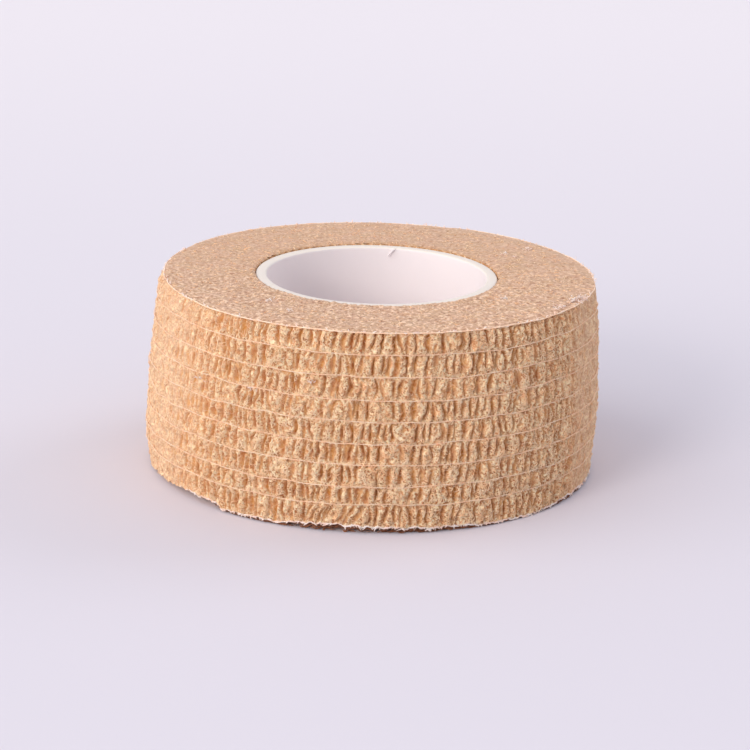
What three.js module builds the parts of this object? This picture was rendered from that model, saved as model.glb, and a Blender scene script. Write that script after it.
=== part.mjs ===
// A roll of cohesive crepe bandage on a short plastic core tube.
// Millimetres, +Z up. The roll stands on the core's lower end at z = 0, and the core's axis is the Z axis.
// A bearing is an angle about Z, measured from the front (-Y) towards +X, in degrees.

import * as THREE from "three";

// Core tube, cut a little longer than the strip is wide
const CORE_OUTER_RADIUS = 15.75;
const CORE_WALL = 1.45;
const CORE_LENGTH = 25.3;
const CORE_EDGE_ROUNDING = 0.2;
const CORE_FACETS = 96;

// Wound strip. The core has slid down in it a little, and holds it that far off the surface.
const STRIP_WIDTH = 25;
const STRIP_THICKNESS = 0.5;
const CORE_SLIDE = 0.6;
const STRIP_END_BEARING = 158;
const FIT_GAP = 0.3;
const WOUND_INNER_RADIUS = CORE_OUTER_RADIUS + FIT_GAP;

// Flat rings of the two ends, and the rounding from the upper one into the side
const LOWER_FLAT_RADIUS = 27.1;
const UPPER_FLAT_RADIUS = 27.6;
const RIM_DROP = 0.2;

// Crepe ribs of the side. A rib's depth is shared out from its shallowest share to the whole,
// and its sways are shares of a column's width.
const RIB_COUNT = 120;
const RIB_DEPTH = 0.6;
const RIB_DEPTH_AT_THREAD = 0.35;
const SHALLOWEST_RIB = 0.6;
const RIB_SWAY = 0.26;
const BAND_SWAY = 0.16;
const BAND_PUFF = 0.25;
const SCATTER_ANGLE = 2.39996;
const FULL_TURN = 360;

// The elastic threads that part the side into puffed bands, from the lower cut edge to the upper one:
// height on the strip, radius to the top of the ribs there, and how far the turns have drifted along X
const THREADS = [
  { height: 0.0, radius: 29.1, drift: -0.31 },
  { height: 3.2, radius: 29.4, drift: -0.37 },
  { height: 5.6, radius: 29.5, drift: -0.3 },
  { height: 8.35, radius: 29.5, drift: -0.2 },
  { height: 11.1, radius: 29.35, drift: -0.12 },
  { height: 13.8, radius: 29.25, drift: -0.14 },
  { height: 16.55, radius: 29.05, drift: -0.04 },
  { height: 19.35, radius: 28.8, drift: 0.03 },
  { height: 22.15, radius: 28.55, drift: 0.07 },
  { height: 25.0, radius: 28.1, drift: 0.08 },
];

// How far the outer turns' lower edge wanders above and below the lower end, round the roll
const EDGE_LIFTS = [
  { bearing: -60, lift: 0.0 },
  { bearing: -50, lift: 0.4 },
  { bearing: -46, lift: 0.35 },
  { bearing: -40.5, lift: 0.15 },
  { bearing: -38.5, lift: -0.4 },
  { bearing: -30, lift: -0.27 },
  { bearing: -22, lift: -0.24 },
  { bearing: -17, lift: 0.0 },
  { bearing: -9, lift: 0.35 },
  { bearing: -4, lift: 0.15 },
  { bearing: 3.5, lift: 0.05 },
  { bearing: 14, lift: -0.12 },
  { bearing: 21, lift: -0.05 },
  { bearing: 28, lift: -0.27 },
  { bearing: 40, lift: -0.42 },
  { bearing: 48, lift: -0.2 },
  { bearing: 58, lift: 0.05 },
  { bearing: 95, lift: -0.1 },
  { bearing: 140, lift: 0.2 },
  { bearing: 190, lift: -0.15 },
  { bearing: 240, lift: 0.2 },
  { bearing: 275, lift: -0.1 },
];

const CREPE = new THREE.MeshStandardMaterial({ color: 0xd9ac86, roughness: 0.95, metalness: 0 });
const CORE_PLASTIC = new THREE.MeshStandardMaterial({ color: 0xebe6e4, roughness: 0.35, metalness: 0 });

// A closed section is turned about Y by three.js: this stands it up on Z, with bearing 0 at -Y
function turnedRing(section, facets) {
  const closed = [...section, section[0]];
  const outline = closed.map(({ radius, height }) => new THREE.Vector2(radius, height));
  return new THREE.LatheGeometry(outline, facets).rotateX(Math.PI / 2);
}

function coreTube() {
  const inner = CORE_OUTER_RADIUS - CORE_WALL;
  const rounding = CORE_EDGE_ROUNDING;
  const section = [
    { radius: inner + rounding, height: 0 },
    { radius: CORE_OUTER_RADIUS - rounding, height: 0 },
    { radius: CORE_OUTER_RADIUS, height: rounding },
    { radius: CORE_OUTER_RADIUS, height: CORE_LENGTH - rounding },
    { radius: CORE_OUTER_RADIUS - rounding, height: CORE_LENGTH },
    { radius: inner + rounding, height: CORE_LENGTH },
    { radius: inner, height: CORE_LENGTH - rounding },
    { radius: inner, height: rounding },
  ];
  const tube = new THREE.Mesh(turnedRing(section, CORE_FACETS), CORE_PLASTIC);
  tube.name = "core_tube";
  return tube;
}

// The lower edge's stand-off at a bearing, on straight runs between the rows of the table
function edgeLift(bearing) {
  const first = EDGE_LIFTS[0];
  const lap = { bearing: first.bearing + FULL_TURN, lift: first.lift };
  const rows = [...EDGE_LIFTS, lap];
  const past = THREE.MathUtils.euclideanModulo(bearing - first.bearing, FULL_TURN);
  const wrapped = first.bearing + past;
  const next = rows.findIndex((row) => row.bearing > wrapped);
  const [low, high] = [rows[next - 1], rows[next]];
  const share = (wrapped - low.bearing) / (high.bearing - low.bearing);
  return THREE.MathUtils.lerp(low.lift, high.lift, share);
}

// The outermost turn grows by one thickness round the roll, and steps back at the strip's cut end
function turnGrowth(bearing) {
  const behind = THREE.MathUtils.euclideanModulo(STRIP_END_BEARING - bearing, FULL_TURN);
  return STRIP_THICKNESS * (0.5 - behind / FULL_TURN);
}

// An uneven but repeatable number from -1 to 1 for each whole number
function scatter(number) {
  return Math.sin(SCATTER_ANGLE * number);
}

// The lower edge's lift dies out at the lowest inner thread
function liftShare(height) {
  return Math.max(0, 1 - height / THREADS[1].height);
}

// The section of the wound strip, with what shapes each of its rows:
// ribs is how deep the ribs are, side is the share of the side's lift, drift and growth
function woundSection() {
  const rows = [
    { radius: WOUND_INNER_RADIUS, height: 0, ribs: 0, side: 0, drift: 0, band: 0 },
    { radius: LOWER_FLAT_RADIUS, height: 0, ribs: 0, side: 0, drift: 0, band: 0 },
  ];
  THREADS.forEach(({ height, radius, drift }, band) => {
    const last = band === THREADS.length - 1;
    const drop = last ? RIM_DROP : 0;
    rows.push({ radius, height: height - drop, ribs: RIB_DEPTH_AT_THREAD, side: 1, drift, band });
    if (last) return;
    const above = THREADS[band + 1];
    rows.push({
      radius: (radius + above.radius) / 2 + BAND_PUFF,
      height: (height + above.height) / 2,
      ribs: RIB_DEPTH,
      side: 1,
      drift: (drift + above.drift) / 2,
      band: band + 0.5,
    });
  });
  rows.push({ radius: UPPER_FLAT_RADIUS, height: STRIP_WIDTH, ribs: 0, side: 0, drift: 0, band: 0 });
  rows.push({ radius: WOUND_INNER_RADIUS, height: STRIP_WIDTH, ribs: 0, side: 0, drift: 0, band: 0 });
  return rows;
}

// Where a row's point lies in a column: even columns are the tops of the ribs, odd ones the valleys.
// A rib keeps its place from band to band but for a small sway.
function woundPoint(row, column, columns) {
  const cell = column + columns * row.band;
  const sway = RIB_SWAY * scatter(column) + BAND_SWAY * scatter(cell);
  const bearing = (FULL_TURN * (column + row.side * sway)) / columns;
  const depth = THREE.MathUtils.mapLinear(scatter(cell + column), -1, 1, SHALLOWEST_RIB, 1);
  const valley = column % 2 === 1 ? row.ribs * depth : 0;
  const growth = turnGrowth((FULL_TURN * column) / columns);
  const radius = row.radius - valley + row.side * growth;
  const lift = row.side * edgeLift(bearing) * liftShare(row.height);
  const angle = THREE.MathUtils.degToRad(bearing);
  const height = CORE_SLIDE + row.height + lift;
  return [radius * Math.sin(angle) + row.drift, -radius * Math.cos(angle), height];
}

function woundBandage() {
  const rows = woundSection();
  const columns = 2 * RIB_COUNT;
  const geometry = turnedRing(rows, columns);
  const points = geometry.attributes.position;
  const perColumn = rows.length + 1;
  for (let index = 0; index < points.count; index += 1) {
    const row = rows[(index % perColumn) % rows.length];
    const column = Math.floor(index / perColumn) % columns;
    points.setXYZ(index, ...woundPoint(row, column, columns));
  }
  geometry.computeVertexNormals();
  const roll = new THREE.Mesh(geometry, CREPE);
  roll.name = "wound_bandage";
  return roll;
}

const bandageRoll = new THREE.Group();
bandageRoll.add(coreTube(), woundBandage());

export default bandageRoll;
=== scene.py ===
# A roll of cohesive crepe bandage on its plastic core, standing on its end.
# Sizes are in millimetres and become metres where a mesh is made.
# A bearing is an angle about Z, measured from the front (-Y) towards +X, in degrees.
# The strip's way round the side starts at its cut end and is given in millimetres along the strip.

import math

import bmesh
import bpy
import numpy as np
from mathutils import Matrix, Vector


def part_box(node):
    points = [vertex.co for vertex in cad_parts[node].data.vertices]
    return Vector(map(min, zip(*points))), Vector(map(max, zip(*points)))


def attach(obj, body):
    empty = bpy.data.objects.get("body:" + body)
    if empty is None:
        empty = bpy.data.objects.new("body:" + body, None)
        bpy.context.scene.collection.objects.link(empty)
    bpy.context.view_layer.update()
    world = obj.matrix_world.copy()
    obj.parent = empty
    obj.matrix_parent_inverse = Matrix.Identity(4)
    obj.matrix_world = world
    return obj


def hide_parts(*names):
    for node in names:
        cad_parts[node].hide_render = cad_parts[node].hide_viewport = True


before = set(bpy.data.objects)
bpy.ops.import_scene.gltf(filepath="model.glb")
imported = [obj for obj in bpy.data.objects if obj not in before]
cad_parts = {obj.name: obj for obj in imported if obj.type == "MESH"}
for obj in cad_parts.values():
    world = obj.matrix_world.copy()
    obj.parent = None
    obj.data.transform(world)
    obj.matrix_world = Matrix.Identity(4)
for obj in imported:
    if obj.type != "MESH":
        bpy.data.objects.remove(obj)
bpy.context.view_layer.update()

MM = 0.001
ROLL = "wound_bandage"
CORE = "core_tube"

# Sizes that the frame gives. The core has slid down in the roll, and lifts the strip by that much.
STRIP_WIDTH = 25
roll_high = np.array(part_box(ROLL)[1]) / MM
core_low, core_high = [np.array(corner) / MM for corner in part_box(CORE)]
CORE_SLIDE = roll_high[2] - STRIP_WIDTH
CORE_LENGTH = core_high[2] - core_low[2]
CORE_RADIUS = (core_high[0] - core_low[0]) / 2

# Sizes of the core and the wound strip
CORE_WALL = 1.45
CORE_EDGE_ROUNDING = 0.25
FIT_GAP = 0.3
STRIP_THICKNESS = 0.5
STRIP_END_BEARING = 158
SIDE_RADIUS = 29.3
STRIP_LAP = 2 * math.pi * SIDE_RADIUS
INNER_RADIUS = CORE_RADIUS + FIT_GAP
UPPER_FLAT_RADIUS = 27.5
LOWER_FLAT_RADIUS = 27.1
RIM_DROP = 0.2
SHOULDER_ROUNDING = 0.35
INNER_TURNS_DROP = 0.5
TURN_PITCH = 0.78

# The lowest that the cloth and the fibres' middle lines come above the floor
LOWEST_CLOTH = 0.03
LOWEST_FIBRE = 0.12

# The elastic threads, from the lower cut edge to the upper one: height on the strip, radius and drift
# along X. The side is two pieces, which meet at a thread.
THREAD_HEIGHTS = np.array([0.0, 3.2, 5.6, 8.35, 11.1, 13.8, 16.55, 19.35, 22.15, 25.0])
THREAD_RADII = np.array([29.1, 29.4, 29.5, 29.5, 29.35, 29.25, 29.05, 28.8, 28.55, 28.1])
THREAD_DRIFTS = np.array([-0.31, -0.37, -0.3, -0.2, -0.12, -0.14, -0.04, 0.03, 0.07, 0.08])
SIDE_SPLIT = THREAD_HEIGHTS[4]

# How far the lower edge of the outer turns wanders above and below the lower end: bearing and lift.
# It is a little uneven on top of that.
EDGE_LIFTS = np.array([
    (-60, 0.2), (-50, 0.6), (-46, 0.5), (-40.5, 0.3), (-38.5, -0.35), (-30, -0.17), (-22, -0.1),
    (-17, 0.1), (-9, 0.5), (-4, 0.3), (3.5, 0.22), (14, 0.0), (21, 0.05), (28, -0.17), (40, -0.42),
    (48, -0.35), (58, -0.1), (95, -0.1), (140, 0.2), (190, -0.15), (240, 0.2), (275, -0.1), (300, 0.2),
])
EDGE_FRAY = 0.1

# Parts of the way round that differ from the rest. A part has two soft ends, and an end is the bearing
# where it starts from nothing and the bearing where it is in full.
SMOOTH_LEFT = ((-125, -95), (-42, -62))
SMOOTH_RIGHT = ((125, 100), (56, 70))
CLEAN_LEFT = ((-140, -115), (-44, -58))
OPEN_FRONT = ((-66, -22), (66, 52))

# How fine the meshes are
LAP_FACES = 1400
LOWER_SIDE_ROWS = 66
UPPER_SIDE_ROWS = 70
UPPER_END_RINGS = 38
LOWER_END_RINGS = 12
INNER_TURN_ROWS = 4
CORE_ARC_STEPS = 4
CORE_SPIN_STEPS = 180
THREAD_STEPS = 800
FIBRE_POINTS = 4
FIBRE_SIDES = 3

# How many fibres there are of each kind, how thick they are, and the share of that at their points
SIDE_FIBRES = 14200
TOP_FIBRES = 1500
UNDER_FIBRES = 2400
RIM_HAIRS = 420
EDGE_STRANDS = 520
EDGE_HAIRS = 1000
LOOSE_FIBRE_THICKNESS = 0.1
PALE_FIBRE_THICKNESS = 0.14
SHADE_PAINTED_FIBRE_THICKNESS = 0.16
FIBRE_TAPER = np.array([0.5, 1.0, 1.0, 0.4], dtype=np.float32)

# The seed of every random draw, and the size of a cell in the maps of the side's relief
SEED = 11
RELIEF_STEP = 0.06

# Puckers of the crepe: how far apart their valleys are and how evenly they follow each other, the share
# that a band loses, how wide a gap may get a new one, and how often it does
PUCKER_PITCH = 1.12
PITCH_EVENNESS = 2.4
LOST_SHARE = 0.04
WIDE_GAP = 1.55
FILLED_SHARE = 0.8

# How far a band's ridges puff out, how the threads draw the cloth in, and how the valleys lean. In the
# lowest band they slant on a stretch of the strip.
RIDGE_PUFF = 0.15
THREAD_DRAW_IN = 0.07
THREAD_DRAW_WIDTH = 0.22
USUAL_LEAN = 0.04
SLANTED_LEAN = 0.55
SLANTED_WAY = (81.5, 88.5)

# Hollows of the crepe, as ranges of the half width, the depth and the half height. A valley's last
# range is its share of the band's height, and its first number is the share of valleys up to that kind:
# pans, slits and short dents.
VALLEY_FORMS = [
    (0.22, [(0.22, 0.36), (0.34, 0.5), (0.85, 1.0)]),
    (0.86, [(0.11, 0.19), (0.42, 0.64), (0.8, 1.0)]),
    (1.0, [(0.2, 0.32), (0.2, 0.36), (0.3, 0.55)]),
]
DIMPLE_FORM = [(0.15, 0.3), (0.12, 0.26), (0.18, 0.42)]
PIT_FORM = [(0.13, 0.19), (0.3, 0.45), (0.14, 0.24)]
DIMPLES_IN_BAND = 90
PITS_IN_BAND = 100
LENS_BOW = 0.12
LENS_SKEW = 0.35
LENS_REACH = 1.5

# How the ridges fall into a hollow on both sides of it
DIP_DEPTH = 0.34
DIP_WIDTH = 0.5
DIP_REACH = 1.6

# Fine folds all over the cloth: depth, and size up and along
FOLDS = [(0.03, 2.2, 0.6), (0.035, 0.8, 0.36), (0.055, 0.34, 0.26)]

# Waves of the first turn where it meets the core, in radians for each millimetre along the strip
INNER_WAVE = 2.7


# Camera

CAMERA_DISTANCE = 364.5
CAMERA_ELEVATION = 0.294
CAMERA_TARGET = Vector((0.18, 0, 11.6))
CAMERA_ROLL = 0.030
FOCAL_PIXELS = 2768
PHOTO_WIDTH = 750
SENSOR_WIDTH = 36


def make_camera():
    camera = bpy.data.objects.new("camera", bpy.data.cameras.new("camera"))
    bpy.context.collection.objects.link(camera)
    camera.data.sensor_width = SENSOR_WIDTH
    camera.data.lens = FOCAL_PIXELS / PHOTO_WIDTH * SENSOR_WIDTH
    camera.data.clip_start = 0.01
    camera.data.clip_end = 20
    away = Vector((0, -math.cos(CAMERA_ELEVATION), math.sin(CAMERA_ELEVATION)))
    place = Matrix.Translation((CAMERA_TARGET + away * CAMERA_DISTANCE) * MM)
    tilt = Matrix.Rotation(math.pi / 2 - CAMERA_ELEVATION, 4, "X")
    roll = Matrix.Rotation(CAMERA_ROLL, 4, "Z")
    camera.matrix_world = place @ tilt @ roll
    bpy.context.scene.camera = camera


# Numbers and maps for the cloth

def smooth_step(low, high, value):
    """From 0 at low to 1 at high, which may be the smaller of the two."""
    share = np.clip((value - low) / (high - low), 0, 1)
    return share * share * (3 - 2 * share)


def rough_map(rows, columns, step, size_up, size_along, seed):
    """An even, random relief with features of the given sizes, with a spread of 1."""
    rng = np.random.default_rng(seed)
    waves = np.fft.rfft2(rng.standard_normal((rows, columns)))
    up = np.fft.fftfreq(rows, step)[:, None]
    along = np.fft.rfftfreq(columns, step)[None, :]
    waves *= np.exp(-2 * math.pi**2 * ((up * size_up / 2) ** 2 + (along * size_along / 2) ** 2))
    relief = np.fft.irfft2(waves, s=(rows, columns))
    return relief / relief.std()


def sample(relief, row, column):
    """The map's value between its cells."""
    row = np.clip(row, 0, relief.shape[0] - 1.001)
    column = np.clip(column, 0, relief.shape[1] - 1.001)
    low, left = row.astype(int), column.astype(int)
    up, across = row - low, column - left
    under = relief[low, left] * (1 - across) + relief[low, left + 1] * across
    over = relief[low + 1, left] * (1 - across) + relief[low + 1, left + 1] * across
    return under * (1 - up) + over * up


def bearing_at(along):
    return STRIP_END_BEARING - 360 * along / STRIP_LAP


def edge_lift(bearing):
    first = EDGE_LIFTS[0, 0]
    return np.interp((bearing - first) % 360 + first, EDGE_LIFTS[:, 0], EDGE_LIFTS[:, 1])


def around(radius, bearing, height, drift=0.0):
    """Points at a radius, a bearing and a height on the strip."""
    angle = np.radians(bearing)
    x = radius * np.sin(angle) + drift
    y = -radius * np.cos(angle)
    return np.stack(np.broadcast_arrays(x, y, height + CORE_SLIDE), axis=-1)


# Crepe relief of the outer turn

def wrapped(bearing):
    return (bearing + 180) % 360 - 180


def within(part, bearing):
    """1 in a part of the way round, with soft ends."""
    first, second = part
    return smooth_step(*first, wrapped(bearing)) * smooth_step(*second, wrapped(bearing))


def puckered(bearing):
    """How strongly the strip is puckered there: it lies smoother at the front's two sides."""
    return 1 - 0.45 * within(SMOOTH_LEFT, bearing) - 0.5 * within(SMOOTH_RIGHT, bearing)


def at_left(bearing):
    """1 at the left of the front, where the lower edge is clean and the upper rim is rounded."""
    return within(CLEAN_LEFT, bearing)


def openness(along, height):
    """How open and crumbly the cloth is: least at the front's two sides, and more low down."""
    bearing = bearing_at(along)
    opened = within(OPEN_FRONT, bearing) + 0.6 * smooth_step(110, 150, np.abs(wrapped(bearing)))
    return 0.22 + 0.58 * opened + 0.2 * smooth_step(16, 2, height) * opened


def pucker_places(rng):
    """Where the puckers' valleys lie along the strip."""
    enough = int(2 * STRIP_LAP / PUCKER_PITCH)
    steps = PUCKER_PITCH * (0.5 + rng.gamma(PITCH_EVENNESS, 0.5 / PITCH_EVENNESS, enough))
    places = np.cumsum(steps)
    return places[places < STRIP_LAP]


def band_places(places, sway, rng):
    """One band's valleys: the puckers as they sway there, a few lost, and a few new in wide gaps."""
    kept = np.sort((places + sway)[rng.random(len(places)) > LOST_SHARE])
    gaps = np.diff(kept)
    wide = (gaps > WIDE_GAP) & (rng.random(len(gaps)) < FILLED_SHARE)
    new = (kept[:-1] + gaps * rng.uniform(0.4, 0.6, len(gaps)))[wide]
    return np.sort(np.concatenate([kept, new]))


def draw_form(ranges, rng):
    """A random number from each range."""
    return [rng.uniform(low, high) for low, high in ranges]


def valley_form(rng):
    """A valley's half width, depth and share of the band's height."""
    kind = rng.random()
    return draw_form(next(form for up_to, form in VALLEY_FORMS if kind < up_to), rng)


def press_lens(hollow, dip, place, centre, half_width, depth, half_height, lean, rng):
    """Sinks a lens on its end into the map of hollows, at a way along the strip and a height,
    and the fall of the ridges on both sides into the map of dips."""
    bow = rng.normal(0, LENS_BOW)
    skew = rng.uniform(-LENS_SKEW, LENS_SKEW)
    low, high = centre - LENS_REACH * half_height, centre + LENS_REACH * half_height
    rows = np.arange(max(0, int(low / RELIEF_STEP)), min(int(high / RELIEF_STEP) + 1, len(hollow)))
    first = max(0, int((place - DIP_REACH) / RELIEF_STEP))
    last = min(hollow.shape[1], int((place + DIP_REACH) / RELIEF_STEP))
    if first >= last:
        return
    up = (rows * RELIEF_STEP - centre) / half_height
    inside = 1 - np.minimum(up**2, 1)
    lens = np.clip(1 - np.abs(up - skew * inside) ** rng.uniform(1.8, 3.6), 0, 1) ** 0.6
    middle = place - lean * up * half_height + bow * inside
    along = np.arange(first, last) * RELIEF_STEP
    away = np.abs(along[None, :] - middle[:, None])
    narrowed = away / (half_width * (0.25 + 0.75 * lens[:, None]))
    pressed = depth * (lens**0.7)[:, None] * np.exp(-(narrowed**2.2))
    patch = hollow[rows[0] : rows[-1] + 1, first:last]
    np.maximum(patch, pressed, out=patch)
    window = smooth_step(LENS_REACH, 0.8, np.abs(up))[:, None]
    fall = DIP_DEPTH * window * 1.7 * depth * np.exp(-((away / DIP_WIDTH) ** 2))
    patch = dip[rows[0] : rows[-1] + 1, first:last]
    np.maximum(patch, fall, out=patch)


def press_band(hollow, dip, places, low, high, rng):
    """Sinks one band's valleys, the dimples on its ridges, and the pits just below its upper thread."""
    band = high - low - 0.1
    for place in places:
        half_width, depth, share = valley_form(rng)
        half_height = share * band / 2
        centre = (low + high) / 2 + rng.uniform(-1, 1) * (band / 2 - half_height)
        slanted = low < 1 and SLANTED_WAY[0] < place < SLANTED_WAY[1]
        lean = rng.normal(SLANTED_LEAN if slanted else USUAL_LEAN, 0.1)
        press_lens(hollow, dip, place, centre, half_width, depth, half_height, lean, rng)
    for place in rng.uniform(0, STRIP_LAP, DIMPLES_IN_BAND):
        centre = rng.uniform(low + 0.4, high - 0.4)
        press_lens(hollow, dip, place, centre, *draw_form(DIMPLE_FORM, rng), 0, rng)
    for place in rng.uniform(0, STRIP_LAP, PITS_IN_BAND):
        half_width, depth, half_height = draw_form(PIT_FORM, rng)
        centre = high - 0.12 - half_height
        press_lens(hollow, dip, place, centre, half_width, depth, half_height, 0, rng)


def crepe_maps():
    """The side's hollows and its whole relief, both over height and along the strip."""
    rng = np.random.default_rng(SEED)
    rows = int(STRIP_WIDTH / RELIEF_STEP) + 2
    columns = int(STRIP_LAP / RELIEF_STEP) + 2

    def rough(size_up, size_along, number):
        return rough_map(rows, columns, RELIEF_STEP, size_up, size_along, SEED + number)

    hollow = np.zeros((rows, columns))
    dip = np.zeros((rows, columns))
    places = pucker_places(rng)
    sway = np.zeros(len(places))
    for low, high in zip(THREAD_HEIGHTS, THREAD_HEIGHTS[1:]):
        sway = 0.8 * sway + rng.normal(0, 0.2, len(places))
        press_band(hollow, dip, band_places(places, sway, rng), low, high, rng)
    row, column = np.indices((rows, columns)).astype(float)
    row += rough(0.6, 0.6, 4) * 0.05 / RELIEF_STEP
    column += (rough(0.8, 0.7, 5) * 0.07 + rough(0.35, 0.35, 6) * 0.04) / RELIEF_STEP
    hollow, dip = sample(hollow, row, column), sample(dip, row, column)
    height = np.arange(rows) * RELIEF_STEP
    apart = np.abs(height[:, None] - THREAD_HEIGHTS[None, :]).min(axis=1)
    drawn_in = THREAD_DRAW_IN * np.exp(-((apart / THREAD_DRAW_WIDTH) ** 2))
    band = np.searchsorted(THREAD_HEIGHTS, height, side="right") - 1
    band = np.clip(band, 0, len(THREAD_HEIGHTS) - 2)
    share = (height - THREAD_HEIGHTS[band]) / (THREAD_HEIGHTS[band + 1] - THREAD_HEIGHTS[band])
    calm = 0.25 + 0.75 * smooth_step(0, 0.6, height) * smooth_step(0, 0.4, STRIP_WIDTH - height)
    puff = RIDGE_PUFF * np.sin(math.pi * np.clip(share, 0, 1)) ** 0.6
    puff = puff * smooth_step(0, 1.6, STRIP_WIDTH - height)
    folds = sum(depth * rough(up, along, 1 + number) for number, (depth, up, along) in enumerate(FOLDS))
    drawn = puckered(bearing_at(np.arange(columns) * RELIEF_STEP))
    relief = drawn**2 * (puff - drawn_in)[:, None] + calm[:, None] * (folds - drawn * (hollow + dip))
    return drawn * (hollow + 0.35 * dip), relief


hollow_map, relief_map = crepe_maps()
edge_fray = rough_map(2, relief_map.shape[1], RELIEF_STEP, 1, 0.45, SEED + 40)


def side_point(along, height):
    """The outer turn's surface at a way along the strip and a height, with the depth of its hollow."""
    row, column = height / RELIEF_STEP, along / RELIEF_STEP
    relief = sample(relief_map, row, column)
    depth = sample(hollow_map, row, column) * smooth_step(STRIP_WIDTH, STRIP_WIDTH - 0.35, height)
    bearing = bearing_at(along)
    radius = np.interp(height, THREAD_HEIGHTS, THREAD_RADII) + relief
    radius = radius + STRIP_THICKNESS * (0.5 - along / STRIP_LAP)
    shoulder = at_left(bearing) * smooth_step(STRIP_WIDTH - 1.3, STRIP_WIDTH + 0.2, height)
    radius = radius - SHOULDER_ROUNDING * shoulder
    drift = np.interp(height, THREAD_HEIGHTS, THREAD_DRIFTS)
    lift = edge_lift(bearing) * np.clip(1 - height / THREAD_HEIGHTS[1], 0, 1)
    lift = lift + EDGE_FRAY * sample(edge_fray, 0 * row, column) * smooth_step(0.5, 0, height)
    drop = RIM_DROP * smooth_step(STRIP_WIDTH - 0.6, STRIP_WIDTH, height)
    return around(radius, bearing, height + lift - drop, drift), depth


# Mesh making

def grid_mesh(name, columns, rows, place):
    """A band of faces round the roll. place takes the way along the strip and the share up the band.
    It gives the points and how hollow the cloth is there, and for the crepe how frayed and open."""
    grid = bmesh.new()
    bmesh.ops.create_grid(grid, x_segments=columns, y_segments=rows, size=0.5)
    mesh = bpy.data.meshes.new(name)
    grid.to_mesh(mesh)
    grid.free()
    flat = np.empty(3 * len(mesh.vertices))
    mesh.vertices.foreach_get("co", flat)
    flat = flat.reshape(-1, 3) + 0.5

    # The last column of faces goes back to the strip's start, and is the step at its cut end
    step = np.rint(flat[:, 0] * columns)
    along = np.where(step == columns, 0, step / (columns - 1)) * STRIP_LAP
    points, *states = place(along, flat[:, 1])
    mesh.vertices.foreach_set("co", (points * MM).ravel())
    for key, values in zip(("hollow", "frayed", "open"), states):
        layer = mesh.attributes.new(key, "FLOAT", "POINT")
        layer.data.foreach_set("value", np.broadcast_to(values, len(points)).astype(np.float32))
    shape = bmesh.new()
    shape.from_mesh(mesh)
    bmesh.ops.remove_doubles(shape, verts=shape.verts, dist=0.001 * MM)
    bmesh.ops.recalc_face_normals(shape, faces=shape.faces)
    shape.to_mesh(mesh)
    shape.free()
    return mesh


def add_piece(mesh, material, replaced=ROLL):
    """Puts a finished mesh in the scene as a piece of the object."""
    for polygon in mesh.polygons:
        polygon.use_smooth = True
    piece = bpy.data.objects.new(mesh.name, mesh)
    bpy.context.collection.objects.link(piece)
    mesh.materials.append(material)
    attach(piece, "root")
    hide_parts(replaced)


def face_outwards(mesh):
    """Turns an open surface so that its faces look away from the middle of the roll's cloth."""
    centre = np.empty(3 * len(mesh.polygons))
    normal = np.empty(3 * len(mesh.polygons))
    mesh.polygons.foreach_get("center", centre)
    mesh.polygons.foreach_get("normal", normal)
    centre, normal = centre.reshape(-1, 3), normal.reshape(-1, 3)
    cloth_radius = (INNER_RADIUS + SIDE_RADIUS) / 2 * MM
    ring = centre * [1, 1, 0]
    ring = ring / np.linalg.norm(ring, axis=1)[:, None] * cloth_radius + [0, 0, STRIP_WIDTH / 2 * MM]
    if (normal * (centre - ring)).sum() < 0:
        mesh.flip_normals()


def add_cloth(name, rows, place, material):
    """A band of faces of the roll's cloth, as a piece."""
    mesh = grid_mesh(name, LAP_FACES, rows, place)
    face_outwards(mesh)
    add_piece(mesh, material)


# Node materials

MIX_A, MIX_B, MIX_RESULT = 6, 7, 2


def paint(red, green, blue):
    """A colour as seen, from 0 to 255, made linear."""
    shares = [value / 255 for value in (red, green, blue)]
    linear = [((c + 0.055) / 1.055) ** 2.4 if c > 0.04045 else c / 12.92 for c in shares]
    return (*linear, 1)


def add(tree, kind, inputs=None, **settings):
    """A new node, with its sockets linked or set."""
    node = tree.nodes.new(kind)
    for key, value in settings.items():
        setattr(node, key, value)
    for socket, value in (inputs or {}).items():
        if isinstance(value, bpy.types.NodeSocket):
            tree.links.new(value, node.inputs[socket])
        else:
            node.inputs[socket].default_value = value
    return node


def new_material(name):
    material = bpy.data.materials.new(name)
    material.use_nodes = True
    tree = material.node_tree
    surface = tree.nodes["Principled BSDF"]
    return material, tree, surface


def millimetres(tree):
    """The piece's own coordinates in millimetres."""
    place = add(tree, "ShaderNodeTexCoord").outputs["Object"]
    mapping = add(tree, "ShaderNodeMapping", {"Vector": place, "Scale": (1 / MM, 1 / MM, 1 / MM)})
    return mapping.outputs["Vector"]


def mix(tree, share, first, second):
    node = add(tree, "ShaderNodeMix", {0: share, MIX_A: first, MIX_B: second}, data_type="RGBA")
    return node.outputs[MIX_RESULT]


def remap(tree, value, low, high, to_low=0.0, to_high=1.0):
    inputs = {"Value": value, "From Min": low, "From Max": high, "To Min": to_low, "To Max": to_high}
    node = add(tree, "ShaderNodeMapRange", inputs, interpolation_type="SMOOTHSTEP")
    return node.outputs["Result"]


def calc(tree, operation, first, second=0.5):
    return add(tree, "ShaderNodeMath", {0: first, 1: second}, operation=operation).outputs[0]


def product(tree, first, *others):
    for other in others:
        first = calc(tree, "MULTIPLY", first, other)
    return first


def attribute(tree, name):
    """A value that the mesh keeps at its points."""
    return add(tree, "ShaderNodeAttribute", attribute_name=name).outputs["Fac"]


def set_finish(surface, roughness, specular):
    surface.inputs["Roughness"].default_value = roughness
    surface.inputs["Specular IOR Level"].default_value = specular


def roughen(tree, surface, height, strength, depth):
    """Bumps of a depth in millimetres."""
    bump = add(tree, "ShaderNodeBump", {"Height": height, "Strength": strength, "Distance": depth * MM})
    tree.links.new(bump.outputs["Normal"], surface.inputs["Normal"])


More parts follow.
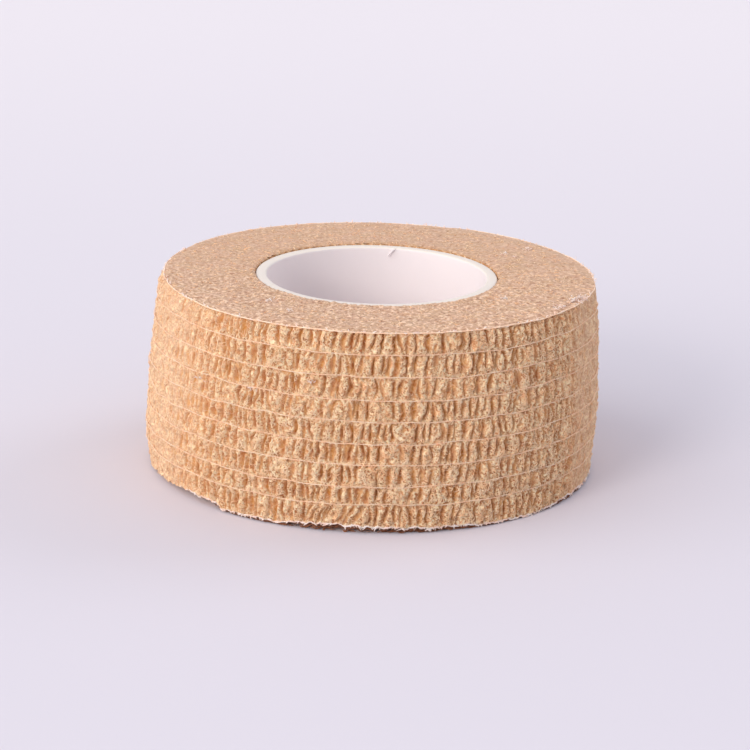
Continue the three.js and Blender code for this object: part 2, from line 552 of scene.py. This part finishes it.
def noise(tree, place, scale, detail=2.0, distortion=0.0):
    inputs = {"Vector": place, "Scale": scale, "Detail": detail, "Distortion": distortion}
    return add(tree, "ShaderNodeTexNoise", inputs).outputs["Fac"]


def strands(tree, place, scale, shift):
    """Curly strands as in crumpled felt: 1 on a strand's line, and 1 in the gaps between them."""
    shifted = add(tree, "ShaderNodeVectorMath", {0: place, 1: (shift, shift, shift)}, operation="ADD")
    level = noise(tree, shifted.outputs[0], scale, 1.0, 1.3)
    away = calc(tree, "ABSOLUTE", calc(tree, "SUBTRACT", level, 0.5))
    return remap(tree, away, 0.05, 0.028), remap(tree, away, 0.065, 0.11)


def crepe_material():
    """The side's crepe: ridges, valleys darkened with painted shade, and a felt of pale strands with brown
    gaps, coloured partly with painted highlight and painted shade.
    """
    material, tree, surface = new_material("tan_crepe")
    place = millimetres(tree)
    hollow = attribute(tree, "hollow")
    open_cloth = attribute(tree, "open")

    # Ridges, a little greyer where the cloth is closed, and the valleys between them. The valleys' darker,
    # warmer colour, strongest where they are deepest, is painted shade.
    deep = remap(tree, hollow, 0.07, 0.32)
    deepest = remap(tree, hollow, 0.3, 0.55)
    tone = remap(tree, noise(tree, place, 0.9, 2.0), 0.35, 0.65)
    hue = remap(tree, noise(tree, place, 0.9, 1.0), 0.42, 0.6)
    ridge = mix(tree, tone, paint(250, 188, 144), paint(250, 189, 136))
    closed = remap(tree, open_cloth, 0.55, 0.22, 0.0, 0.9)
    ridge = mix(tree, closed, ridge, paint(232, 188, 155))
    shallow_valley_shade = mix(tree, hue, paint(216, 160, 106), paint(206, 148, 104))
    deepest_valley_shade = mix(tree, hue, paint(198, 132, 60), paint(184, 112, 58))
    valley_shade = mix(tree, deepest, shallow_valley_shade, deepest_valley_shade)
    base = mix(tree, product(tree, deep, 0.95), ridge, valley_shade)

    # Gaps between the strands, the strands, and crumbs. They fade in the valleys. The pattern is the
    # felt's own, but the pale of its strands and bright crumbs is partly painted highlight, and the brown
    # of its gaps and dull crumbs is partly painted shade.
    shown = calc(tree, "SUBTRACT", 1.0, product(tree, deep, 0.8))
    coarse, coarse_gaps = strands(tree, place, 1.25, 0.0)
    fine, fine_gaps = strands(tree, place, 2.0, 37.0)
    patches = remap(tree, noise(tree, place, 1.0, 1.0), 0.36, 0.58, 0.45, 1.0)
    gaps = product(tree, coarse_gaps, calc(tree, "SUBTRACT", 1.0, fine))
    gaps = calc(tree, "MAXIMUM", gaps, product(tree, fine_gaps, 0.5))
    gaps = product(tree, gaps, patches, open_cloth, shown)
    base = mix(tree, gaps, base, paint(164, 98, 56))
    web = calc(tree, "MAXIMUM", coarse, product(tree, fine, 0.7))
    web = product(tree, web, shown, remap(tree, open_cloth, 0.2, 0.8, 0.6, 1.0))
    base = mix(tree, web, base, paint(255, 227, 181))
    crumbs = noise(tree, place, 3.4, 1.0, 0.8)
    open_share = product(tree, shown, open_cloth)
    dull = product(tree, remap(tree, crumbs, 0.45, 0.36, 0.0, 0.55), open_share)
    base = mix(tree, dull, base, paint(172, 106, 62))
    bright = product(tree, remap(tree, crumbs, 0.53, 0.61), open_share)
    base = mix(tree, bright, base, paint(255, 232, 196))

    # The frayed lower edge is paler
    base = mix(tree, attribute(tree, "frayed"), base, paint(250, 226, 212))
    tree.links.new(base, surface.inputs["Base Color"])
    roughen(tree, surface, calc(tree, "SUBTRACT", web, gaps), 1.0, 0.1)
    set_finish(surface, 0.9, 0.1)
    return material


def end_material():
    """The cut edges of the turns: a dry, sandy face, with stronger sand towards the front."""
    material, tree, surface = new_material("cut_edges")
    place = millimetres(tree)
    tone = noise(tree, place, 0.35, 2.0)
    base = mix(tree, remap(tree, tone, 0.35, 0.65), paint(208, 164, 132), paint(203, 162, 126))
    streaks = product(tree, remap(tree, attribute(tree, "hollow"), 0.09, 0.14), 0.45)
    base = mix(tree, streaks, base, paint(186, 140, 112))
    backward = add(tree, "ShaderNodeSeparateXYZ", {"Vector": place}).outputs["Y"]
    rough_share = remap(tree, backward, 12.0, -14.0, 0.45, 1.0)

    # Bright and dull grains of sand, and a few dark specks
    sand = noise(tree, place, 2.0, 3.0, 0.6)
    bright = product(tree, remap(tree, sand, 0.52, 0.64), rough_share)
    base = mix(tree, bright, base, paint(244, 206, 174))
    dull = product(tree, remap(tree, sand, 0.46, 0.34), rough_share)
    base = mix(tree, dull, base, paint(172, 122, 92))
    cells = add(tree, "ShaderNodeTexVoronoi", {"Vector": place, "Scale": 1.8})
    specks = remap(tree, cells.outputs["Distance"], 0.24, 0.1)
    patchy = remap(tree, noise(tree, place, 0.9, 1.0), 0.5, 0.62)
    specks = product(tree, specks, patchy, rough_share)
    base = mix(tree, specks, base, paint(142, 98, 76))

    tree.links.new(base, surface.inputs["Base Color"])
    roughen(tree, surface, calc(tree, "SUBTRACT", sand, product(tree, specks, 0.5)), 0.8, 0.12)
    set_finish(surface, 0.95, 0.1)
    surface.inputs["Sheen Weight"].default_value = 0.2
    return material


def thread_material():
    material, tree, surface = new_material("elastic_thread")
    tone = remap(tree, noise(tree, millimetres(tree), 0.9, 2.0), 0.4, 0.6)
    base = mix(tree, tone, paint(255, 210, 174), paint(255, 228, 200))
    tree.links.new(base, surface.inputs["Base Color"])
    set_finish(surface, 0.6, 0.3)
    return material


def fibre_material(name, darker, lighter):
    material, tree, surface = new_material(name)
    tone = remap(tree, noise(tree, millimetres(tree), 0.7, 1.0), 0.35, 0.65)
    base = mix(tree, tone, darker, lighter)
    tree.links.new(base, surface.inputs["Base Color"])
    set_finish(surface, 0.7, 0.2)
    return material


def core_material():
    """The core's warm white plastic, a little yellower at its upper rim."""
    material, tree, surface = new_material("white_core")
    place = millimetres(tree)
    tone = noise(tree, place, 0.12, 2.0)
    base = mix(tree, tone, paint(237, 226, 225), paint(239, 228, 227))
    height = add(tree, "ShaderNodeSeparateXYZ", {"Vector": place}).outputs["Z"]
    rim = remap(tree, height, CORE_LENGTH - 0.2, CORE_LENGTH - 0.03)
    base = mix(tree, rim, base, paint(237, 225, 213))
    tree.links.new(base, surface.inputs["Base Color"])
    roughness = remap(tree, noise(tree, place, 0.6, 3.0), 0.3, 0.7, 0.36, 0.46)
    tree.links.new(roughness, surface.inputs["Roughness"])
    roughen(tree, surface, noise(tree, place, 1.2, 2.0), 0.1, 0.02)
    surface.inputs["Specular IOR Level"].default_value = 0.4
    surface.inputs["Subsurface Weight"].default_value = 0.15
    surface.inputs["Subsurface Radius"].default_value = (1.0, 0.9, 0.8)
    surface.inputs["Subsurface Scale"].default_value = 1.0 * MM
    return material


# Pieces

def make_side(name, low, high, rows, material):
    """A part of the side, between two heights on the strip."""

    def place(along, up):
        height = low + (high - low) * up
        points, depth = side_point(along, height)
        frayed = 0.6 * smooth_step(0.2, 0.0, height) * (1 - at_left(bearing_at(along)))
        return points, depth, frayed, openness(along, height)

    add_cloth(name, rows, place, material)


# Relief of the two ends, over the way in and along the strip, and how deep its parts are
END_MAP_ROWS, END_MAP_COLUMNS = 260, 1900
END_MAP_STEP = STRIP_LAP / (END_MAP_COLUMNS - 2)
LOWER_MAP_ROWS, LOWER_MAP_COLUMNS = 120, 1500
LOWER_MAP_STEP = STRIP_LAP / (LOWER_MAP_COLUMNS - 2)
SAND_DEPTH = 0.035
SWELL_DEPTH = 0.03
LAYER_DEPTH = 0.035
LOWER_SAND_DEPTH = 0.04
EDGE_CURL = 0.1
end_maps = {
    "sand": rough_map(END_MAP_ROWS, END_MAP_COLUMNS, END_MAP_STEP, 0.3, 0.3, SEED + 5),
    "swell": rough_map(END_MAP_ROWS, END_MAP_COLUMNS, END_MAP_STEP, 2.0, 3.0, SEED + 6),
    "waves": rough_map(END_MAP_ROWS, END_MAP_COLUMNS, END_MAP_STEP, 0.7, 1.2, SEED + 7),
}


def top_point(along, across):
    """The upper end's surface, from the rim at 0 to the puckered inner edge at 1, and how hollow it is."""
    rim = side_point(along, np.full_like(along, STRIP_WIDTH))[0]
    row, column = across * (END_MAP_ROWS - 2), along / END_MAP_STEP
    wave = sample(end_maps["waves"], row, column)
    sand = SAND_DEPTH * sample(end_maps["sand"], row, column)
    swell = SWELL_DEPTH * sample(end_maps["swell"], row, column)
    inner = INNER_RADIUS - 0.2 + 0.07 * np.sin(along * INNER_WAVE + 1.4 * wave)
    radius = UPPER_FLAT_RADIUS + (inner - UPPER_FLAT_RADIUS) * across
    turn = (radius + 0.1 * wave) / TURN_PITCH - along / STRIP_LAP
    layer = LAYER_DEPTH * np.cos(2 * math.pi * turn)
    height = STRIP_WIDTH - 0.06 + (sand + swell) + layer - 0.15 * smooth_step(0.97, 1.0, across)
    flat = around(radius, bearing_at(along), height)
    edge = smooth_step(0, 0.04, across)[..., None]
    return rim * (1 - edge) + flat * edge, 0.1 - 1.2 * layer


def make_upper_end(material):
    """The upper end: sandy cut edges of the turns."""
    add_cloth("upper_end", UPPER_END_RINGS, top_point, material)


def make_lower_end(material):
    """The lower end. Behind the outer turns' edge the inner turns reach a little lower."""
    sand = rough_map(LOWER_MAP_ROWS, LOWER_MAP_COLUMNS, LOWER_MAP_STEP, 0.4, 0.4, SEED + 8)

    def place(along, up):
        rim = side_point(along, np.zeros_like(along))[0]
        across = up**1.8
        row, column = across * (LOWER_MAP_ROWS - 2), along / LOWER_MAP_STEP
        radius = LOWER_FLAT_RADIUS + (INNER_RADIUS - LOWER_FLAT_RADIUS) * across
        flat = around(radius, bearing_at(along), LOWER_SAND_DEPTH * sample(sand, row, column))
        edge = smooth_step(0, 0.2, across)[:, None]
        points = rim * (1 - edge) + flat * edge
        inner_turns = smooth_step(0.02, 0.08, across) * smooth_step(1.0, 0.8, across)
        points[:, 2] -= INNER_TURNS_DROP * inner_turns
        points[:, 2] += EDGE_CURL * np.sin(math.pi * np.clip(across / 0.05, 0, 1))
        points[:, 2] = np.maximum(points[:, 2], LOWEST_CLOTH)
        return points, 0.05

    add_cloth("lower_end", LOWER_END_RINGS, place, material)


def make_inner_turn(material):
    """The inner face of the first turn, which the core stands in."""

    def place(along, up):
        wave = np.sin(along * INNER_WAVE) * smooth_step(0.8, 1.0, up)
        height = STRIP_WIDTH * up - 0.2 * smooth_step(0.9, 1.0, up)
        radius = INNER_RADIUS - 0.17 * smooth_step(0.8, 1.0, up) + 0.08 * wave
        # The hollow value here gives the inner face part of the valleys' darker colour, which is painted
        # shade.
        return around(radius, bearing_at(along), height), 0.2 + 0.12 * wave, 0.0, 0.5

    add_cloth("inner_turn", INNER_TURN_ROWS, place, material)


# Elastic threads: the one at the rim is thicker. A thread bridges so many steps to each side, and is
# evened out over so many in all.
THREAD_THICKNESS = 0.105
RIM_THREAD_SHARE = 1.5
BRIDGED_STEPS = 4
EVENED_STEPS = 7


def make_threads(material):
    """The elastic threads, each one ring that bridges the valleys between the ridges."""
    curve = bpy.data.curves.new("elastic_threads", "CURVE")
    curve.dimensions = "3D"
    curve.bevel_depth = THREAD_THICKNESS / 2 * MM
    curve.bevel_resolution = 0
    along = np.linspace(0, STRIP_LAP, THREAD_STEPS)
    step = STRIP_LAP / THREAD_STEPS
    for number, height in enumerate(THREAD_HEIGHTS[1:]):
        at_rim = height == STRIP_WIDTH
        lane = rough_map(2, THREAD_STEPS, step, 1, 2.4, SEED + 30 + number)[0]
        swell = rough_map(2, THREAD_STEPS, step, 1, 1.5, SEED + 50 + number)[0]
        level = np.minimum(height + 0.07 * lane, STRIP_WIDTH - 0.02)
        points = side_point(along, level)[0]
        ring = np.hypot(points[:, 0], points[:, 1])
        bridged = ring
        for shift in range(-BRIDGED_STEPS, BRIDGED_STEPS + 1):
            bridged = np.maximum(bridged, np.roll(ring, shift))
        weights = np.ones(EVENED_STEPS) / EVENED_STEPS
        bridged = np.convolve(np.pad(bridged, EVENED_STEPS // 2, mode="edge"), weights, mode="valid")
        proud = (0.03 if at_rim else 0.05) + 0.04 * swell
        scale = (bridged + proud) / ring
        points[:, :2] *= scale[:, None]
        thick = np.full(THREAD_STEPS, RIM_THREAD_SHARE if at_rim else 1.0, dtype=np.float32)
        add_path(curve, points, thick)
    curve_piece(curve, material)


# The longest hairs of the lower edge: where they hang, how many there, and their length
LONG_HAIR_BEARINGS = [2.6, 9.0, 15.2, 16.8]
LONG_HAIRS_AT_ONE = 3
LONG_HAIR_LENGTH = 0.55

# Pale tufts: bearing, radius, height, size along the roll and number of fibres
TUFTS = [
    (70.2, 27.95, 25.0, 0.35, 26),
    (67.6, 27.6, 25.0, 0.5, 34),
    (65.3, 27.3, 25.0, 0.35, 16),
    (57.6, 27.2, 25.0, 0.7, 24),
    (53.9, 19.9, 25.02, 0.12, 16),
    (124.2, 20.6, 25.0, 0.15, 8),
    (118.9, 20.9, 25.0, 0.15, 8),
    (126.1, 24.9, 25.0, 0.15, 8),
    (-28.5, 22.4, 25.0, 0.35, 14),
    (-40.4, 20.0, 25.0, 0.3, 10),
    (-30.2, 29.15, 16.4, 0.2, 7),
    (-15.2, 29.0, 18.5, 0.25, 9),
    (-47.6, 29.15, 15.9, 0.15, 5),
]

# The sliver at the core's rim: bearing, way in from the inner wall, height and share of its thickness
BURR_PATH = [
    (170.3, -0.05, CORE_LENGTH - 0.1, 1.0),
    (171.2, 0.12, CORE_LENGTH - 0.25, 1.0),
    (172.4, 0.3, CORE_LENGTH - 0.5, 0.9),
    (173.6, 0.4, CORE_LENGTH - 0.85, 0.8),
    (174.2, 0.38, CORE_LENGTH - 1.1, 0.4),
]
BURR_THICKNESS = 0.26

# Fibres of the side lie where the hollow is shallower than this, and a share of the rest cross it
RIDGE_HOLLOW = 0.12
CROSSING_SHARE = 0.12

# By how many degrees the clean part of the lower edge is moved towards the front on the inner turns
CLEAN_FURTHER = 12


def curly_paths(count, step, turning, rng):
    """Random short paths in a plane: how far each of their points lies along and up from the middle."""
    heading = rng.uniform(0, 2 * math.pi, (count, 1))
    heading = heading + np.cumsum(rng.normal(0, turning, (count, FIBRE_POINTS)), axis=1)
    length = step * rng.uniform(0.55, 1.45, (count, 1))
    along = np.cumsum(length * np.cos(heading), axis=1)
    up = np.cumsum(length * np.sin(heading), axis=1)
    return along - along.mean(axis=1)[:, None], up - up.mean(axis=1)[:, None]


def pushed_out(points, distance):
    """The points moved away from the roll's axis, or towards it by less than nothing."""
    ring = np.hypot(points[..., 0], points[..., 1])
    scale = 1 + distance / ring
    return np.stack([points[..., 0] * scale, points[..., 1] * scale, points[..., 2]], axis=-1)


def side_fibres(count, low, high, rng):
    """Curly fibres that lie on the ridges of the side, and here and there cross a valley."""
    place = rng.uniform(0.5, STRIP_LAP - 0.5, 3 * count)
    height = rng.uniform(low, high, 3 * count)
    hollow = side_point(place, height)[1]
    kept = (hollow < RIDGE_HOLLOW) | (rng.random(3 * count) < CROSSING_SHARE)
    kept = kept & (rng.random(3 * count) < puckered(bearing_at(place)) ** 2)
    place, height = place[kept][:count], height[kept][:count]
    along, up = curly_paths(len(place), step=0.26, turning=0.75, rng=rng)
    along = np.clip(place[:, None] + along, 0, STRIP_LAP)
    up = np.clip(height[:, None] + up, low, high)
    arch = np.sin(np.linspace(0.15, 0.85, FIBRE_POINTS) * math.pi)
    lay = rng.uniform(-0.01, 0.05, (len(place), 1)) + rng.uniform(0, 0.13, (len(place), 1)) * arch
    return pushed_out(side_point(along, up)[0], lay)


def top_fibres(count, rng):
    """Short fibres on the upper end."""
    place = rng.uniform(1, STRIP_LAP - 1, count)
    across = rng.uniform(0.01, 0.99, count)
    along, up = curly_paths(count, step=0.16, turning=0.7, rng=rng)
    along = np.clip(place[:, None] + along, 0, STRIP_LAP)
    across = np.clip(across[:, None] + up / (UPPER_FLAT_RADIUS - INNER_RADIUS), 0, 1)
    points = top_point(along, across)[0]
    arch = np.sin(np.linspace(0.1, 0.9, FIBRE_POINTS) * math.pi)
    points[..., 2] += rng.uniform(0, 0.08, (count, 1)) * arch
    return points


def way_at(bearing):
    """The way along the strip at a bearing."""
    return (STRIP_END_BEARING - np.asarray(bearing, dtype=float)) % 360 / 360 * STRIP_LAP


def frayed_places(count, rng, clean_further=0):
    """Random ways along the strip's lower edge, with few where it is clean. clean_further is how many
    degrees that part is moved towards the front."""
    place = rng.uniform(1, STRIP_LAP - 1, 2 * count)
    kept = rng.random(2 * count) > at_left(bearing_at(place) - clean_further)
    return place[kept][:count]


def edge_strands(count, rng):
    """Fibres that run along the lower cut edge and make its pale line."""
    place = frayed_places(count, rng)
    along = place[:, None] + np.arange(FIBRE_POINTS) * rng.uniform(0.15, 0.4, (count, 1))
    along = np.clip(along, 0, STRIP_LAP)
    height = rng.uniform(0, 0.16, (count, 1)) + rng.normal(0, 0.05, along.shape)
    points = side_point(along, np.clip(height, 0, 1))[0]
    return pushed_out(points, rng.uniform(0.02, 0.1, (count, 1)))


def edge_hairs(place, length, rng):
    """Loose hairs that stick out and down from the lower cut edge."""
    count = len(place)
    share = np.linspace(0, 1, FIBRE_POINTS)
    sweep = rng.normal(0, 0.7, (count, 1)) * share + rng.normal(0, 0.25, (count, 1)) * share**2
    along = np.clip(place[:, None] + length[:, None] * sweep, 0, STRIP_LAP)
    points = side_point(along, rng.uniform(0.02, 0.2, (count, 1)) + 0 * along)[0]
    points = pushed_out(points, 0.03 + length[:, None] * rng.uniform(0.1, 0.6, (count, 1)) * share)
    points[..., 2] -= length[:, None] * rng.uniform(0.3, 0.9, (count, 1)) * share**1.3
    points[..., 2] = np.maximum(points[..., 2], LOWEST_FIBRE)
    return points


def under_fuzz(count, rng):
    """Fibres of the inner turns' edges just behind the lower cut edge, coloured dark brown as painted
    shade.
    """
    place = frayed_places(count, rng, CLEAN_FURTHER)
    along = place[:, None] + np.arange(FIBRE_POINTS) * rng.uniform(0.1, 0.3, (count, 1))
    points = side_point(np.clip(along, 0, STRIP_LAP), 0.05 + 0 * along)[0]
    points = pushed_out(points, rng.uniform(-0.65, -0.15, (count, 1)) + 0 * along)
    fall = rng.gamma(2.5, 0.14, (count, 1)) + rng.normal(0, 0.03, along.shape)
    points[..., 2] = np.maximum(points[..., 2] - np.abs(fall), LOWEST_FIBRE)
    return points


def rim_hairs(count, rng):
    """Short hairs that stand out from the upper rim."""
    place = rng.uniform(1, STRIP_LAP - 1, count)
    share = np.linspace(0, 1, FIBRE_POINTS)
    along = place[:, None] + rng.normal(0, 0.3, (count, 1)) * share
    points = side_point(np.clip(along, 0, STRIP_LAP), STRIP_WIDTH - 0.05 + 0 * along)[0]
    points = pushed_out(points, rng.normal(0.05, 0.16, (count, 1)) * share)
    points[..., 2] += rng.gamma(2, 0.07, (count, 1)) * share
    return points


def tuft(centre, spread, count, rng):
    """A small tangle of fibres about a point."""
    start = centre + rng.normal(0, 1, (count, 1, 3)) * spread
    steps = rng.normal(0, 0.16, (count, FIBRE_POINTS, 3)) * [1, 1, 0.5]
    return start + np.cumsum(steps, axis=1)


def pale_fibres(rng):
    """The frayed lower edge, the hairs of the upper rim, and the tufts on the end and the side."""
    hairs = edge_hairs(frayed_places(EDGE_HAIRS, rng), rng.gamma(3, 0.07, EDGE_HAIRS), rng)
    marked = np.repeat(way_at(LONG_HAIR_BEARINGS), LONG_HAIRS_AT_ONE)
    marked = marked + rng.normal(0, 0.08, len(marked))
    long_hairs = edge_hairs(marked, np.full(len(marked), LONG_HAIR_LENGTH), rng)
    paths = [edge_strands(EDGE_STRANDS, rng), hairs, long_hairs, rim_hairs(RIM_HAIRS, rng)]
    for bearing, radius, height, size, count in TUFTS:
        angle = math.radians(bearing)
        centre = around(radius, bearing, height)
        outward = np.array([math.sin(angle), -math.cos(angle), 0])
        tangent = np.array([math.cos(angle), math.sin(angle), 0])
        spread = np.abs(tangent) * size + np.abs(outward) * 0.08 + [0, 0, 0.05]
        paths.append(tuft(centre, spread, count, rng))
    return np.concatenate(paths)


def make_fibres(name, paths, material, thickness, rng):
    """One piece of many fibres, with a three-sided section that thins out to both ends."""
    profile = bpy.data.curves.new("fibre_profile", "CURVE")
    ring = profile.splines.new("POLY")
    ring.points.add(FIBRE_SIDES - 1)
    radius = thickness / 2 * MM
    for number, point in enumerate(ring.points):
        angle = 2 * math.pi * number / FIBRE_SIDES
        point.co = (radius * math.cos(angle), radius * math.sin(angle), 0, 1)
    ring.use_cyclic_u = True
    holder = bpy.data.objects.new("fibre_profile", profile)
    bpy.context.collection.objects.link(holder)
    curve = bpy.data.curves.new(name, "CURVE")
    curve.dimensions = "3D"
    curve.bevel_mode = "OBJECT"
    curve.bevel_object = holder
    width = rng.uniform(0.6, 1.25, len(paths)).astype(np.float32)
    for path, share in zip(paths, width):
        add_path(curve, path, FIBRE_TAPER * share)
    curve_piece(curve, material)
    bpy.data.objects.remove(holder)
    bpy.data.curves.remove(profile)


def curve_piece(curve, material, replaced=ROLL):
    """Makes a mesh of a curve with thickness, and puts it in the scene."""
    name = curve.name
    holder = bpy.data.objects.new(name, curve)
    bpy.context.collection.objects.link(holder)
    shown = holder.evaluated_get(bpy.context.evaluated_depsgraph_get())
    mesh = bpy.data.meshes.new_from_object(shown)
    bpy.data.objects.remove(holder)
    bpy.data.curves.remove(curve)
    mesh.name = name
    mesh.materials.clear()
    add_piece(mesh, material, replaced)


def add_path(curve, points, thickness):
    """One more run of the curve through points in millimetres, with a share of its thickness at each."""
    spline = curve.splines.new("POLY")
    spline.points.add(len(points) - 1)
    data = np.ones((len(points), 4))
    data[:, :3] = points * MM
    spline.points.foreach_set("co", data.ravel())
    spline.points.foreach_set("radius", thickness)


def make_burr(material):
    """A sliver of plastic that hangs from the core's rim into the bore."""
    curve = bpy.data.curves.new("core_burr", "CURVE")
    curve.dimensions = "3D"
    curve.bevel_depth = BURR_THICKNESS / 2 * MM
    curve.bevel_resolution = 1
    curve.use_fill_caps = True
    bearing, inset, height, thickness = np.array(BURR_PATH).T
    points = around(CORE_RADIUS - CORE_WALL - inset, bearing, height - CORE_SLIDE)
    add_path(curve, points, thickness.astype(np.float32))
    curve_piece(curve, material, CORE)


def make_core(material):
    """The core tube, spun from its rounded section."""
    outer, inner, rounding = CORE_RADIUS, CORE_RADIUS - CORE_WALL, CORE_EDGE_ROUNDING

    # Corners: radius, height, the way to the middle of the rounding, and the angle where its arc starts
    corners = [
        (outer, 0, -1, 1, -90),
        (outer, CORE_LENGTH, -1, -1, 0),
        (inner, CORE_LENGTH, 1, -1, 90),
        (inner, 0, 1, 1, 180),
    ]
    shape = bmesh.new()
    section = []
    for radius, height, inwards, upwards, start in corners:
        for step in range(CORE_ARC_STEPS + 1):
            angle = math.radians(start + 90 * step / CORE_ARC_STEPS)
            from_axis = radius + inwards * rounding + rounding * math.cos(angle)
            level = height + upwards * rounding + rounding * math.sin(angle)
            section.append(shape.verts.new((0, -from_axis * MM, level * MM)))
    edges = [shape.edges.new(pair) for pair in zip(section, section[1:] + section[:1])]
    bmesh.ops.spin(
        shape, geom=section + edges, cent=(0, 0, 0), axis=(0, 0, 1), dvec=(0, 0, 0),
        angle=2 * math.pi, steps=CORE_SPIN_STEPS, use_merge=True, use_duplicate=False,
    )
    bmesh.ops.recalc_face_normals(shape, faces=shape.faces)
    mesh = bpy.data.meshes.new("white_core")
    shape.to_mesh(mesh)
    shape.free()
    add_piece(mesh, material, CORE)


# Stage and light, in metres

FLOOR_HALF_WIDTH = 3.0
LAMP_AIM = Vector((0, 0, 0.012))
ROOM_COLOUR = (0.90, 0.93, 1.03, 1)
ROOM_STRENGTH = 0.71


def make_stage():
    """A plain pale floor, painted a little brighter towards the back: painted light."""
    shape = bmesh.new()
    bmesh.ops.create_grid(shape, x_segments=1, y_segments=1, size=FLOOR_HALF_WIDTH)
    mesh = bpy.data.meshes.new("floor")
    shape.to_mesh(mesh)
    shape.free()
    floor = bpy.data.objects.new("floor", mesh)
    bpy.context.collection.objects.link(floor)
    material, tree, surface = new_material("pale_floor")
    place = millimetres(tree)
    backward = add(tree, "ShaderNodeSeparateXYZ", {"Vector": place}).outputs["Y"]
    # Lighter towards the back, as painted light
    share = remap(tree, backward, -60.0, 420.0)
    base = mix(tree, share, paint(221, 215, 223), paint(238, 231, 235))
    tree.links.new(base, surface.inputs["Base Color"])
    set_finish(surface, 0.8, 0.1)
    mesh.materials.append(material)


def soft_lamp(name, place, size, energy, colour):
    """A round soft lamp that faces the roll."""
    lamp = bpy.data.lights.new(name, "AREA")
    lamp.shape = "DISK"
    lamp.size = size
    lamp.energy = energy
    lamp.color = colour
    holder = bpy.data.objects.new(name, lamp)
    bpy.context.collection.objects.link(holder)
    holder.location = place
    aim = LAMP_AIM - holder.location
    holder.rotation_euler = aim.to_track_quat("-Z", "Y").to_euler()


def make_light():
    scene = bpy.context.scene
    scene.view_settings.view_transform = "Standard"
    world = bpy.data.worlds.new("studio")
    world.use_nodes = True
    room = world.node_tree.nodes["Background"]
    room.inputs["Color"].default_value = ROOM_COLOUR
    room.inputs["Strength"].default_value = ROOM_STRENGTH
    scene.world = world
    soft_lamp("key", (-1.7, -0.62, 1.2), size=3.0, energy=25, colour=(1.0, 0.96, 0.91))
    soft_lamp("front_fill", (-1.0, -1.45, 0.75), size=0.8, energy=14.2, colour=(1.0, 0.97, 0.92))
    soft_lamp("right_fill", (1.5, 0.9, 1.1), size=1.2, energy=8.5, colour=(1.0, 0.97, 0.97))


# The scene

make_camera()
make_stage()
make_light()

crepe = crepe_material()
cut_edges = end_material()
make_side("crepe_lower", 0.0, SIDE_SPLIT, LOWER_SIDE_ROWS, crepe)
make_side("crepe_upper", SIDE_SPLIT, STRIP_WIDTH, UPPER_SIDE_ROWS, crepe)
make_upper_end(cut_edges)
make_lower_end(cut_edges)
make_inner_turn(crepe)
make_threads(thread_material())

# The fibres share one line of random draws, so their order matters
fibre_rng = np.random.default_rng(SEED + 70)
loose = fibre_material("loose_fibre", paint(253, 206, 160), paint(255, 224, 188))
lower_fuzz = side_fibres(SIDE_FIBRES // 2, 0.1, SIDE_SPLIT, fibre_rng)
upper_fuzz = side_fibres(SIDE_FIBRES - SIDE_FIBRES // 2, SIDE_SPLIT, STRIP_WIDTH, fibre_rng)
upper_fuzz = np.concatenate([upper_fuzz, top_fibres(TOP_FIBRES, fibre_rng)])
make_fibres("lower_fibres", lower_fuzz, loose, LOOSE_FIBRE_THICKNESS, fibre_rng)
make_fibres("upper_fibres", upper_fuzz, loose, LOOSE_FIBRE_THICKNESS, fibre_rng)
pale = fibre_material("pale_fibre", paint(255, 224, 208), paint(255, 242, 234))
make_fibres("edge_fibres", pale_fibres(fibre_rng), pale, PALE_FIBRE_THICKNESS, fibre_rng)
# These fibres are painted far darker than the cloth: painted shade under the lifted lower edge.
shade_painted = fibre_material("shade_painted_fibre", paint(128, 80, 56), paint(156, 102, 74))
make_fibres("under_fibres", under_fuzz(UNDER_FIBRES, fibre_rng), shade_painted, SHADE_PAINTED_FIBRE_THICKNESS, fibre_rng)

plastic = core_material()
make_core(plastic)
make_burr(plastic)
